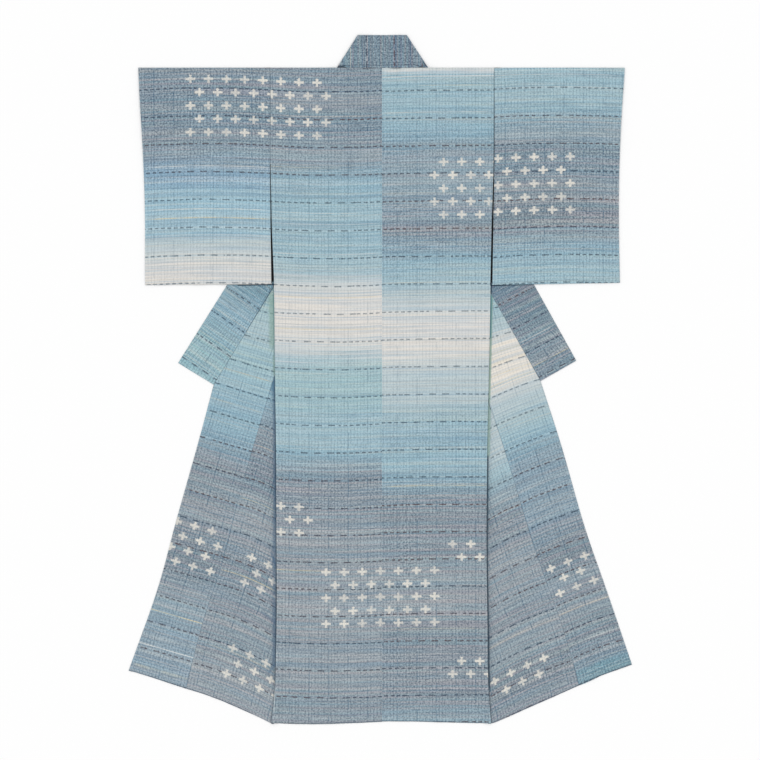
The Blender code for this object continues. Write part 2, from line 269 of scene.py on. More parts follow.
def sewSheet(name, node, points, faces, uvSets, materials, shade=None, wall=garment["wall"]):
    # a thin wall round a middle surface, with the cloth's own coordinates as its UV map
    points = points.reshape(-1, 3)
    points[:, 2] += creaseHeight(points[:, 0], points[:, 1])
    mesh = bpy.data.meshes.new(name)
    mesh.from_pydata(points.tolist(), [], [quad for quad, _, _ in faces])
    mesh.polygons.foreach_set("material_index", [m for _, _, m in faces])
    uvSets = [uv.reshape(-1, 2) for uv in uvSets]
    corners = [uvSets[s][corner] for quad, s, _ in faces for corner in quad]
    mesh.uv_layers.new(name="cloth").data.foreach_set("uv", np.array(corners, np.float32).ravel())
    if shade is not None:
        mesh.attributes.new("shade", "FLOAT", "POINT").data.foreach_set(
            "value", shade.astype(np.float32).ravel())
    for material in materials:
        mesh.materials.append(material)
    piece = bpy.data.objects.new(name, mesh)
    bpy.context.scene.collection.objects.link(piece)
    solid = piece.modifiers.new("wall", "SOLIDIFY")
    solid.thickness = wall
    solid.offset = 0
    solid.use_even_offset = True
    solid.thickness_clamp = 0
    depsgraph = bpy.context.evaluated_depsgraph_get()
    thick = bpy.data.meshes.new_from_object(piece.evaluated_get(depsgraph))
    piece.modifiers.clear()
    piece.data = thick
    thick.name = name
    thick.shade_smooth()
    thick.set_sharp_from_angle(angle=math.radians(50))
    bpy.data.meshes.remove(mesh)
    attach(piece, "root")
    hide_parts(node)
    print("sewn", name, len(thick.polygons))


# Dyes and threads. Each is the colour that shows from a step away.
dyes = dict(
    slate="919da5", ash="9ca6ac", drift="9db0b9", steel="93adba", dusk="8298a6", deep="758a97",
    night="627a8e", deepBlue="76a2b0", river="97bbca", lagoon="99c1c9", aqua="a1c2cd",
    pool="a7c7cc", mist="b0c8ce", haze="c0cfd2", frost="ccd4d5", cream="e3dfd9", indigo="4d7690",
    ink="4f6c84", pearl="dde2e2", teal="3f637c", navy="3a4a5c", umber="57494e", straw="d8cba4",
    white="e4e0d6", paleBlue="c2d6dc", sage="9fb8a6", lilac="a89fb2", mossNavy="405361",
    moss="86a497", deepTeal="5d8990", sky="a3c7d6", azure="91b4cc", nightBlue="45637f",
    sound="89a9ba", pewter="83919a", mallow="92a8b6", blush="c6bdc6", ivory="ece5da",
    # shadow and black are painted shade: in nooks, beside upper layers' edges and in the slit
    # between sleeve and body
    smoke="48596b", harbour="7e939f", shadow="22384a", black="020508")


def linearColour(name):
    channels = [int(dyes[name][k:k + 2], 16) / 255 for k in (0, 2, 4)]
    return [c / 12.92 if c <= .04045 else ((c + .055) / 1.055) ** 2.4 for c in channels] + [1]


class Wire:
    # the output of a node, which takes part in sums as a number does
    def __init__(self, socket):
        self.socket = socket

    def __add__(self, other):
        return calc("ADD", self, other)

    def __sub__(self, other):
        return calc("SUBTRACT", self, other)

    def __rsub__(self, other):
        return calc("SUBTRACT", other, self)

    def __mul__(self, other):
        return calc("MULTIPLY", self, other)

    def __truediv__(self, other):
        return calc("DIVIDE", self, other)

    def __abs__(self):
        return calc("ABSOLUTE", self)


def feed(node, inputs):
    # sets or wires a node's inputs, in their order or by name
    for key, value in inputs.items() if isinstance(inputs, dict) else enumerate(inputs):
        if isinstance(value, Wire):
            node.id_data.links.new(value.socket, node.inputs[key])
        else:
            node.inputs[key].default_value = value


def addNode(tree, kind, inputs=(), **settings):
    node = tree.nodes.new(kind)
    for key, value in settings.items():
        setattr(node, key, value)
    feed(node, inputs)
    return [Wire(socket) for socket in node.outputs]


def treeOf(*values):
    return next(value.socket.id_data for value in values if isinstance(value, Wire))


def calc(operation, *values):
    return addNode(treeOf(*values), "ShaderNodeMath", values, operation=operation)[0]


def fade(value, low, high, start=0.0, end=1.0):
    return addNode(treeOf(value), "ShaderNodeMapRange", (value, low, high, start, end),
                   interpolation_type="SMOOTHSTEP")[0]


def mixColour(amount, *colours):
    # each of the two colours is a wire or the name of a dye
    first, second = (linearColour(c) if isinstance(c, str) else c for c in colours)
    return addNode(treeOf(amount), "ShaderNodeMix", {0: amount, 6: first, 7: second},
                   data_type="RGBA")[2]


def noise(u, v, perU, perV, detail=1.0, shift=0.0):
    # about 0.3 to 0.7, perU and perV lumps to the metre
    tree = treeOf(u, v)
    place = addNode(tree, "ShaderNodeCombineXYZ", [
        calc("MULTIPLY_ADD", u, perU, shift), calc("MULTIPLY_ADD", v, perV, shift * 1.7)])[0]
    inputs = {"Vector": place, "Scale": 1, "Detail": detail}
    return addNode(tree, "ShaderNodeTexNoise", inputs, noise_dimensions="2D")[0]


def chance(value, shift=0.0):
    # the same random number for every point of one row or column
    return addNode(treeOf(value), "ShaderNodeTexWhiteNoise", {"W": value + shift},
                   noise_dimensions="1D")[0]


def jitter(value, size):
    # a random number from 0 to 1 as a shift to either side
    return calc("MULTIPLY_ADD", value, size, -size / 2)


def dashes(value, pitch, share, soft, start=0.0):
    # 1 over the given share of each pitch, and soft where it ends
    return fade(calc("FRACT", value / pitch + start), share, share + soft, 1, 0)


def nearest(value, pitch):
    # number of the nearest line of a set "pitch" apart, and how far away it is
    scaled = value / pitch
    line = calc("ROUND", scaled)
    return line, abs(scaled - line) * pitch


weave = {
    "thread": .0011,          # pitch of the yarns in the relief
    "toneRange": (.66, .27), "paleContrast": .33,
    "noises": {               # lumps to the metre along u and v, detail, shift
        "broad": (.9, 95, 1, 3.1), "streak": (.8, 240, 0, 7.7), "fine": (16, 290, 0, 5.9),
        "warp": (290, 11, 0, 1.9), "slub": (230, 250, 0, 5.3), "speck": (270, 240, 0, 2.6),
        "hue": (2.0, 170, 0, 9.1), "band": (5, 50, 1, 6.6)},
    "yarns": (                # noise, from, to, strength, dye
        ("broad", .55, .75, .3, "ink"), ("broad", .44, .28, .15, "frost"),
        ("streak", .55, .75, .38, "ink"), ("streak", .42, .26, .29, "pearl"),
        ("fine", .54, .72, .28, "ink"), ("fine", .44, .28, .15, "frost"),
        ("warp", .54, .74, .14, "navy"), ("slub", .44, .26, .16, "pearl")),
    "hues": (                 # the same, as much in pale cloth as in deep-dyed cloth
        ("hue", .54, .7, .22, "azure"), ("hue", .46, .3, .1, "straw"),
        ("band", .53, .7, .14, "azure"), ("broad", .44, .3, .05, "straw"),
        ("streak", .58, .74, .14, "azure")),
    "flecks": (               # the same, still more in deep-dyed cloth
        ("mauve", .46, .28, .34, "lilac"), ("hue", .54, .72, .16, "sage"),
        ("band", .45, .3, .12, "blush"), ("slub", .54, .74, .5, "navy"),
        ("speck", .64, .72, .62, "navy")),
    "latticeWarp": .0085, "latticeWeft": .0092, "latticeStrength": .48,
    "tickPitch": .0508, "tickStrength": .62,
    "warpHalf": (.0006, .0014), "weftHalf": (.0005, .0012), "tickHalf": (.0005, .0014),
    "rowPitch": .0722,        # between two rows of tied dashes
    "short": (.0165, .56, .09), "long": (.034, .5, .05),  # pitch, share tied, softness
    "longReach": (.045, .03), "longWander": .07, "dashHalf": (.0012, .0022),
    "dashStrength": (.66, .94),
    "nookReach": .007,        # cloth this close to a higher layer's edge lies in its shade
    "bump": .3, "bumpDepth": .0003,
}


def makeWeaveGroup():
    # tied and dyed slubby silk: takes the shaded dye and gives the woven colour, gloss and height
    tree = bpy.data.node_groups.new("slubbySilk", "ShaderNodeTree")
    sockets = {"INPUT": ("Dye", "U", "V", "Row Shift", "Long Dashes", "Tick Shift", "Motif",
                         "Shade", "Contrast"), "OUTPUT": ("Colour", "Roughness", "Height")}
    for way, names in sockets.items():
        for name in names:
            kind = "Color" if name in ("Dye", "Colour") else "Float"
            tree.interface.new_socket(name, in_out=way, socket_type="NodeSocket" + kind)
    dye, u, v, rowShift, longPlace, tickShift, motif, shade, contrast = addNode(
        tree, "NodeGroupInput")[:len(sockets["INPUT"])]

    # pale cloth shows less of its yarns than deep-dyed cloth
    tone = addNode(tree, "ShaderNodeRGBToBW", [dye])[0]
    depth = addNode(tree, "ShaderNodeMapRange", (tone, *weave["toneRange"],
                                                 weave["paleContrast"], 1.0))[0]
    bold = depth * contrast

    # full-width weft streaks, shorter slubs, warp streaks, specks and changing hues
    noises = {name: noise(u, v, *scale) for name, scale in weave["noises"].items()}
    broad, fine, slub = noises["broad"], noises["fine"], noises["slub"]
    red, _, blue = addNode(tree, "ShaderNodeSeparateColor", [dye])
    noises["mauve"] = calc("MULTIPLY_ADD", noises["hue"] - .5, fade(blue - red, .24, .12), .5)
    colour = dye
    for kind, share in (("yarns", bold), ("hues", contrast), ("flecks", bold * depth)):
        for name, low, high, strength, yarn in weave[kind]:
            colour = mixColour(fade(noises[name], low, high, 0, share * strength), colour, yarn)

    # lattice of single dark yarns
    column, offWarp = nearest(u, weave["latticeWarp"])
    line, offWeft = nearest(v, weave["latticeWeft"])
    warpLine = fade(offWarp, *weave["warpHalf"], 1, 0) * fade(
        noise(column, v, 3.3, 24, 0), .3, .6, .6, 1)
    weftLine = fade(offWeft, *weave["weftHalf"], 1, 0) * fade(
        noise(u, line, 9, 2.7, 0), .35, .6, .1, .7)
    lattice = calc("MAXIMUM", warpLine, weftLine) * bold * weave["latticeStrength"]
    colour = mixColour(lattice, colour, "smoke")

    # broken dark warp yarns
    tick, offTick = nearest(u - tickShift, weave["tickPitch"])
    ticks = fade(offTick, *weave["tickHalf"], 1, 0) * fade(
        noise(tick, v, 5.7, 34, 0), .47, .55)
    colour = mixColour(ticks * depth * weave["tickStrength"], colour, "teal")

    # rows of tied dashes, short ones with a group of long ones near the middle of the cloth
    wander = jitter(noise(u, v, 14, 5, 0), .0022)
    row, offRow = nearest(v - rowShift + wander, weave["rowPitch"])
    aside = u - (jitter(chance(row), weave["longWander"]) + longPlace)
    least, more = weave["longReach"]
    isLong = calc("LESS_THAN", abs(aside), calc("MULTIPLY_ADD", chance(row, 11.5), more, least))
    short = dashes(u, *weave["short"], chance(row, 4.5))
    dash = isLong * dashes(aside, *weave["long"]) + (1.0 - isLong) * short
    ragged = jitter(noise(u, v, 300, 5, 0), .0014)
    dash = dash * fade(offRow + ragged, *weave["dashHalf"], 1, 0) * fade(slub, .3, .55, .72, 1)
    dash = dash * (1.0 - motif) * fade(depth, .3, .9, *weave["dashStrength"])
    dark = mixColour(fade(broad, .4, .6), "umber", "navy")
    dark = mixColour(fade(depth, .55, .95), "mossNavy", dark)
    colour = mixColour(dash, colour, dark)
    colour = mixColour(motif * fade(slub, .25, .6, 1, .78), colour, "white")

    # shade on the cloth and in its nooks
    nook = addNode(tree, "ShaderNodeAmbientOcclusion", {"Distance": weave["nookReach"]},
                   samples=8)[1]
    dim = calc("MAXIMUM", shade, fade(nook, 1.0, .55, 0, .45))
    colour = mixColour(dim, colour, "shadow")

    # the yarns over and under each other, the slubs standing highest
    turn = 2 * math.pi / weave["thread"]
    height = calc("SINE", u * turn) * calc("SINE", v * turn) * .25 + slub + fine * .8
    addNode(tree, "NodeGroupOutput", {"Colour": colour, "Height": height,
                                      "Roughness": fade(fine, .3, .7, .74, .9)})
    return tree


weaveGroup = makeWeaveGroup()

# Small off-white crosses in offset rows. A cluster is u and v of its middle, and half its size.
crosses = {"cell": (.047, .0345), "arm": (.0125, .0105), "width": .0031,
           "armSoft": .001, "widthSoft": .0007, "ragged": (.005, .003), "faintest": .68}


def crossMask(u, v, clusters):
    (cellU, cellV), (armU, armV), wide = crosses["cell"], crosses["arm"], crosses["width"]
    raggedU, raggedV = crosses["ragged"]
    line = calc("FLOOR", v / cellV)
    odd = calc("MODULO", abs(line), 2.0) * .5
    middleU = (calc("FLOOR", u / cellU + odd) + .5 - odd) * cellU
    middleV = (line + .5) * cellV
    du = abs(u - middleU) + jitter(noise(u, v, 40, 900, 0, 2.2), raggedU)
    dv = abs(v - middleV) + jitter(noise(u, v, 900, 40, 0, 6.4), raggedV)
    soft, thin = crosses["armSoft"], crosses["widthSoft"]
    flat = fade(du, armU - soft, armU + soft, 1, 0) * fade(dv, wide - thin, wide + thin, 1, 0)
    tall = fade(du, wide - thin, wide + thin, 1, 0) * fade(dv, armV - soft, armV + soft, 1, 0)
    place = 0.0
    for clusterU, clusterV, halfU, halfV in clusters:
        inside = calc("LESS_THAN", abs(middleU - clusterU), halfU) * calc(
            "LESS_THAN", abs(middleV - clusterV), halfV)
        place = calc("MAXIMUM", place, inside)
    least = crosses["faintest"]
    number = calc("MULTIPLY_ADD", middleU, 41.3, line)
    faint = calc("MULTIPLY_ADD", chance(number), 1 - least, least)
    return calc("MAXIMUM", flat, tall) * (place * faint)


def addMarks(colour, marks):
    # soft lines in plan: dark lines along seams and hems, painted highlights along folded edges,
    # and painted shade that one layer casts on another
    place = addNode(treeOf(colour), "ShaderNodeTexCoord")[3]
    x, y, _ = addNode(treeOf(colour), "ShaderNodeSeparateXYZ", [place])
    for line, half, dye, strength in marks:
        for x0, y0, x1, y1 in zip(line[::2], line[1::2], line[2::2], line[3::2]):
            length = math.hypot(x1 - x0, y1 - y0)
            dx, dy = (x1 - x0) / length, (y1 - y0) / length
            run = calc("MULTIPLY_ADD", x, dx, calc("MULTIPLY_ADD", y, dy, -x0 * dx - y0 * dy))
            off = calc("MULTIPLY_ADD", x, dy, calc("MULTIPLY_ADD", y, -dx, y0 * dx - x0 * dy))
            past = abs(run - length / 2) - length / 2
            amount = fade(abs(off), half * .5, half * 1.5, strength, 0) * fade(
                past, -half, half * 2, 1, 0)
            colour = mixColour(amount, colour, dye)
    return colour


def silkMaterial(name, look):
    # bands: dye, then the level along the warp where it's pure, or from where to where.
    # threads: level, dye, strength, half width, and from u, to u where that isn't the span.
    # marks: x and y of each point of a line in plan, half width, dye, strength.
    material = bpy.data.materials.new(name)
    material.use_nodes = True
    tree = material.node_tree
    u, v, _ = addNode(tree, "ShaderNodeSeparateXYZ",
                      addNode(tree, "ShaderNodeUVMap", uv_map="cloth"))

    # the dye runs unevenly from yarn to yarn
    uneven = jitter(noise(u, v, 1.1, 240, 1, 8.8), .07) + jitter(
        noise(u, v, 6, 55, 1, 4.2), .02)
    stops = [(level, dye) for dye, *levels in look["bands"] for level in levels]
    low, high = stops[0][0], stops[-1][0]
    spread = addNode(tree, "ShaderNodeMapRange", (v + uneven, low, high))[0]
    colour = addNode(tree, "ShaderNodeValToRGB", [spread])[0]
    ramp = colour.socket.node.color_ramp.elements
    for number, (level, dye) in enumerate(stops):
        place = (level - low) / (high - low)
        stop = ramp[number] if number < 2 else ramp.new(place)
        stop.position = place
        stop.color = linearColour(dye)

    patchy = fade(noise(u, v, 40, 30, 0, 3.3), .3, .52, .6, 1.0)
    for level, dye, strength, half, *own in look["threads"]:
        start, end = own or look["span"]
        reach = (end - start) / 2
        thread = fade(abs(v - level), half * .5, half * 1.4, strength, 0) * fade(
            abs(u - (start + end) / 2), reach * .8, reach * 1.05, 1, 0)
        colour = mixColour(thread * patchy, colour, dye)

    inputs = {"Dye": colour, "U": u, "V": v, "Row Shift": look["rowShift"],
              "Long Dashes": look["long"], "Tick Shift": look.get("tickShift", 0.0),
              "Contrast": look.get("contrast", 1.0)}
    if "clusters" in look:
        inputs["Motif"] = crossMask(u, v, look["clusters"])
    # painted shade, carried by the mesh's shade attribute
    if "shade" in look:
        shade = addNode(tree, "ShaderNodeAttribute", attribute_name="shade")[2]
        inputs["Shade"] = shade * look["shade"]
    colour, roughness, height = addNode(tree, "ShaderNodeGroup", inputs, node_tree=weaveGroup)
    # painted shade: where the shade attribute goes past 1 the cloth is painted black, as the deep
    # shade in the slit between sleeve and body
    if "shade" in look:
        colour = mixColour(fade(shade, 1.2, 2.0), colour, "black")
    normal = addNode(tree, "ShaderNodeBump", {"Strength": weave["bump"], "Height": height,
                                              "Distance": weave["bumpDepth"]})[0]
    feed(tree.nodes["Principled BSDF"], {
        "Base Color": addMarks(colour, look["marks"]), "Roughness": roughness, "Normal": normal,
        "Specular IOR Level": .22, "Sheen Weight": .1, "Sheen Roughness": .55})
    return material


# Body lengths. u is x in the back, and the distance from the overlap seam in the front.
leftBody = {
    "back": {
        "bands": [("slate", -.9), ("ash", -.77, -.4), ("slate", -.32, -.25), ("river", -.19),
            ("aqua", -.15, -.085), ("pool", -.05, .03), ("mist", .058), ("frost", .075),
            ("cream", .115, .21), ("frost", .256), ("mist", .285), ("aqua", .33, .465),
            ("river", .51), ("steel", .55), ("ash", .6), ("dusk", .64, .685), ("ash", .73),
            ("dusk", .78), ("slate", .81)],
        "threads": [(.5553, "straw", .55, .001, -.3, -.1), (.688, "straw", .3, .0012, -.26, 0),
            (.408, "white", .45, .001), (.33, "white", .55, .0012),
            (.4367, "white", .5, .001, -.28, -.05), (.1345, "straw", .45, .0014, -.28, 0),
            (.2175, "straw", .45, .0011, -.28, 0), (-.4975, "straw", .7, .0012, -.28, -.12),
            (-.215, "paleBlue", .4, .0012, -.27, 0)],
        "clusters": [(-.27, .716, .135, .086), (-.005, -.56, .15, .086),
            (-.245, -.365, .08, .045)],
        # marks: a dark line along the hem, painted shade in the slit and seam gap between sleeve
        # and body, and a painted highlight where the side edge folds near the hem
        "marks": [
            ([-.2712, -.8929, -.172, -.8945, -.046, -.8908, .004, -.8878], .0011, "navy", .65),
            ([-.2764, .244, -.2821, .384], .0009, "black", 1),
            ([-.2821, .384, -.2858, .56], .0007, "black", .95),
            ([-.2858, .56, -.286, .8], .0006, "shadow", .6),
            ([-.2733, -.802, -.2766, -.866], .0008, "frost", .6)],
        "span": (-.29, 0), "rowShift": .0304, "long": -.14, "tickShift": .0186, "contrast": .9},
    "front": {
        "bands": [("ash", 0, .06), ("slate", .1, .125), ("ash", .175), ("slate", .23, .3),
            ("pewter", .34), ("slate", .375), ("ash", .42, .485), ("slate", .525), ("deep", .575),
            ("slate", .63, .68), ("steel", .73), ("river", .78, .85), ("aqua", 1.1),
            ("slate", 1.25), ("ash", 1.75)],
        "threads": [(.3077, "straw", .8, .0012), (.11, "straw", .25, .003, .02, .24),
            (.5035, "straw", .6, .0011, 0, .12), (.47, "paleBlue", .35, .0012),
            (.648, "straw", .4, .001)],
        "clusters": [(.15, .33, .08, .05), (.16, .085, .085, .045)],
        # marks: painted shade beside the back's side edge and in the creases there, and a dark
        # line along the hem
        "marks": [([-.2738, .01, -.2752, -.03], .01, "indigo", .65),
            ([-.2738, .005, -.2728, -.365], .0055, "nightBlue", .5),
            ([-.2728, -.365, -.274, -.74], .007, "nightBlue", .45),
            ([-.3076, -.6045, -.2738, -.6305], .004, "nightBlue", .35),
            ([-.2894, -.7605, -.2725, -.7397], .004, "nightBlue", .45),
            ([-.2842, -.4485, -.2712, -.4849], .0028, "nightBlue", .5),
            ([-.2738, .014, -.2699, -.365, -.2713, -.765], .0018, "shadow", .6),
            ([-.5052, -.8022, -.4584, -.8168, -.4116, -.8342, -.3492, -.8612, -.2868, -.8929],
             .0011, "navy", .7)],
        "span": (0, .2), "rowShift": .052, "long": .1, "tickShift": .025, "contrast": .88,
        "shade": .62},
    "sag": .0048, "tilt": .001, "stretch": (1, .0274), "bulge": .008, "easeDown": .0094,
    "easeFrom": .76, "easeAside": .034,
}

rightBody = {
    "back": {
        "bands": [("steel", -.9), ("slate", -.84, -.65), ("ash", -.6, -.52), ("slate", -.46, -.32),
            ("steel", -.28), ("river", -.25), ("aqua", -.2), ("river", -.165), ("aqua", -.1),
            ("mist", -.075), ("haze", -.045, .01), ("frost", .05), ("cream", .08, .15),
            ("frost", .19), ("mist", .25), ("aqua", .285), ("river", .32), ("sound", .345),
            ("slate", .39), ("mallow", .45), ("drift", .54), ("mallow", .585), ("sound", .615),
            ("river", .65), ("aqua", .72, .785), ("frost", .812)],
        "threads": [(.7698, "straw", .55, .0011, .09, .3), (.4899, "straw", .45, .001),
            (-.2765, "straw", .75, .0012), (-.2065, "pearl", .5, .0012, .1, .29),
            (.8085, "cream", .75, .003, 0, .31), (.7, "white", .45, .0012),
            (.574, "paleBlue", .45, .0012, 0, .16), (.255, "straw", .35, .0011),
            (.105, "straw", .35, .0016), (-.062, "white", .5, .0012, 0, .28),
            (-.13, "paleBlue", .5, .0012, 0, .28), (-.655, "straw", .3, .001, .02, .27)],
        "clusters": [(.29, .5, .15, .086), (-.005, -.56, .15, .086), (.262, -.755, .08, .045),
            (.232, -.445, .05, .04)],
        # marks: a dark line along the hem, and painted shade in the slit and seam gap between
        # sleeve and body
        "marks": [([.0045, -.8873, .078, -.8877, .14, -.8888, .2, -.8904, .27, -.8925], .0011,
             "navy", .65), ([.2865, .244, .2907, .425], .0009, "black", 1),
            ([.2907, .425, .2938, .52], .0007, "black", .95),
            ([.2938, .52, .2955, .8], .0006, "shadow", .6)],
        "span": (0, .29), "rowShift": .0345, "long": .15, "tickShift": .0452, "contrast": .96},
    "front": {
        "bands": [("slate", 0), ("pewter", .04, .085), ("ash", .125, .18), ("slate", .225),
            ("ash", .275, .38), ("slate", .43, .485), ("drift", .53), ("aqua", .59),
            ("haze", .625, .78), ("aqua", .9), ("river", 1.1), ("slate", 1.25), ("ash", 1.75)],
        "threads": [(.173, "straw", .38, .001), (.53, "white", .4, .0012, 0, .2)],
        "clusters": [(.15, .06, .08, .04)],
        # marks: painted shade beside the back's side edge and at the small fold in it, and a dark
        # line along the hem
        "marks": [([.2838, -.045, .2804, -.199], .0045, "moss", .6),
            ([.2788, -.199, .2775, -.48], .0028, "shadow", .7),
            ([.2775, -.48, .2795, -.612, .283, -.8], .0028, "shadow", .75),
            ([.283, -.8, .2865, -.88], .0016, "shadow", .3),
            ([.292, -.8918, .4152, -.8389, .516, -.7942], .0011, "navy", .7),
            ([.28, -.048, .2862, -.078], .0008, "shadow", .85)],
        "span": (0, .22), "rowShift": .0545, "long": .12, "tickShift": .025, "contrast": .88,
        "shade": .55},
    "sag": -.0012, "tilt": .0035, "stretch": (1.006, .015), "bulge": .006, "easeDown": .0125,
    "easeFrom": .7, "easeAside": 0,
}

bodyFold = {
    "wedgeColumns": 23, "foldColumns": 8, "shoulderRows": 6,
    "stretchFrom": -.334,  # the back is drawn out a little below this level
    "shadeWidth": .0075, "shadeEnd": (-.845, .06),  # the shade beside the back fades at the hem
}


def bodyLength(side, look):
    wedgeColumns, foldColumns = bodyFold["wedgeColumns"], bodyFold["foldColumns"]
    outward = planEdges[side]["outward"]
    layer, middle, shoulder = garment["layer"], garment["middle"], garment["shoulderY"]
    bend = layer / 2
    rows = np.r_[0, .04, .1, .18, .3:29.8:1 / 6, 29.85, 29.95, 30][:, None]
    foldX, y = creasePoint(side, rows)
    y = np.minimum(y, shoulder - bend)
    sideX = xAt(side, "side", y)
    turnX = foldX + outward * bend  # where the turned-out front's fold begins
    wedgeX = between(sideX, turnX, np.linspace(0, 1, wedgeColumns) ** 1.6)
    wedgeY = np.repeat(y, wedgeColumns, axis=1)

    # back: over the wedge, down beside its fold, and across to the centre seam
    centreX = garment["centreX"] + outward * garment["centreGap"]
    downX = foldX - outward * np.array([0, .001, .002, .0032, .0046, .0062, .008, .01,
                                        .012, .0145, .018])
    restX = between(downX[:, -1:], centreX, np.r_[np.linspace(0, 1, 17)[1:-1], .975, .985,
                                                  .992, 1])
    backX = np.hstack((wedgeX, downX, restX))
    backY = np.repeat(y, backX.shape[1], axis=1)
    inward = outward * (foldX - backX)
    fall = 2 * layer * (1 - smoothStep((inward - .0012) / garment["creaseWidth"]))
    backZ = middle + np.where(inward <= 0, cover(side, backX, backY) + layer, fall)
    backZ += seamRelief(np.abs(backX - sideX), "side")
    backZ += seamRelief(np.abs(backX - garment["centreX"]), "centre")
    toCentre = np.clip((backX - sideX) / (centreX - sideX), 0, 1)
    backY[:4] += garment["hemRise"] * toCentre[:4] ** 2 * hemFade
    backY += hemRise("back", side, backX)
    backY[-1, wedgeColumns + 1:] = shoulder
    whole, low = look["stretch"]
    backV = (backY * whole + np.minimum(backY - bodyFold["stretchFrom"], 0) * low
             + look["sag"] * bow(toCentre) + look["tilt"] * toCentre)

    # shoulder fold, over the wedge columns alone
    turns = np.linspace(0, math.pi, bodyFold["shoulderRows"] + 2)[1:-1, None]
    lift = middle + cover(side, wedgeX[-1], wedgeY[-1]) + bend
    folds = np.dstack(np.broadcast_arrays(
        wedgeX[-1], shoulder - bend + bend * np.sin(turns), lift + bend * np.cos(turns)))

    # front: wedge with its right side down, the fold, then out to the seam with it up
    wedgeX, wedgeY, turnX, y = wedgeX[::-1], wedgeY[::-1], turnX[::-1], y[::-1]
    wedge = np.dstack((wedgeX, wedgeY, middle + cover(side, wedgeX, wedgeY)))
    wedge[:, -3:, 2] = middle + layer
    turns = np.linspace(0, math.pi, foldColumns + 1)[1:]
    fold = np.dstack(np.broadcast_arrays(turnX - outward * bend * np.sin(turns), y,
                                         middle + bend + bend * np.cos(turns)))
    seamX, seamY = seamPoint(side, rows[::-1])
    probe = np.linspace(0, 1, 241)
    probeY = between(y, seamY, probe)
    beyond = outward * (between(turnX, seamX, probe) - xAt(side, "side", probeY)) > 0
    cross = np.where(beyond.any(axis=1), probe[np.argmax(beyond, axis=1)], 1)
    cross = smoothed(np.minimum(cross, .92), 5)[:, None]
    shares = np.hstack((cross * np.linspace(0, 1, 9)[1:], between(cross, 1, np.r_[
        (np.arange(1, 22) / 22) ** 1.5, .975, .985, .993, 1])))
    frontX = between(turnX, seamX, shares)
    rise = hemRise("front", side, frontX[::-1])[::-1]
    frontY = between(y, seamY, shares) + rise
    across = np.hypot(seamX - turnX, seamY - y)
    toSeam = (1 - shares) * across
    shown = np.dstack((frontX, frontY, middle + seamRelief(toSeam, "overlap")))
    front = np.hstack((wedge, fold, shown))

    level = lengthAlong(seamX[::-1, 0], seamY[::-1, 0])[::-1, None]
    bulge = look["bulge"] * np.clip((across * (1 - cross) - .02) / .18, 0, 1)
    frontU = np.hstack((across + np.abs(wedgeX - turnX), np.repeat(across, foldColumns, axis=1),
                        toSeam))
    frontV = np.hstack((np.repeat(level, wedgeColumns + foldColumns, axis=1),
                        level + rise - bulge * bow(np.clip((shares - cross) / (1 - cross), 0, 1))
                        - look["easeDown"] * np.maximum(look["easeFrom"] - level, 0)
                        - look["easeAside"] * toSeam))
    # painted shade on the front beside the back's side edge, wavy along its length and fading near
    # the hem
    away = outward * (frontX - xAt(side, "side", frontY))
    end, fadeOver = bodyFold["shadeEnd"]
    backEdgeShade = np.exp(-np.clip(away - .001, 0, 1) / bodyFold["shadeWidth"])
    backEdgeShade *= .55 + .45 * np.sin(frontY * 9.0 + 1.2) ** 2
    backEdgeShade *= smoothStep((frontY - end) / fadeOver)

    columns = backX.shape[1]
    foldStart = len(rows) * columns
    starts = [foldStart + k * wedgeColumns for k in range(len(folds) + 1)]
    points = np.vstack([part.reshape(-1, 3) for part in (
        np.dstack((backX, backY, backZ)), folds, front)])
    # the wedge and fold hidden under the back are painted in full shade
    shade = np.zeros(len(points))
    shade[starts[-1]:] = np.hstack((np.ones(wedge.shape[:2]), np.ones(fold.shape[:2]),
                                    backEdgeShade)).ravel()
    backUv, frontUv = np.zeros((2, len(points), 2))
    backUv[:foldStart] = np.dstack((backX, backV)).reshape(-1, 2)
    for k, start in enumerate(starts):
        backUv[start:start + wedgeColumns, 0] = wedgeX[0]
        backUv[start:start + wedgeColumns, 1] = shoulder + .0005 * k
    frontUv[starts[-1]:] = np.dstack((frontU, frontV)).reshape(-1, 2)
    faces = gridFaces(len(rows), columns)
    faces += gridFaces(len(rows), front.shape[1], starts[-1], uvSet=1, material=1)
    for low, high in zip([foldStart - columns] + starts, starts):
        faces += strip(low, high, wedgeColumns)
    silks = [silkMaterial(f"{side}BackSilk", look["back"]),
             silkMaterial(f"{side}FrontSilk", look["front"])]
    sewSheet(f"{side}Body", f"body_{side}", points, faces, (backUv, frontUv), silks, shade)


bodyLength("left", leftBody)
bodyLength("right", rightBody)


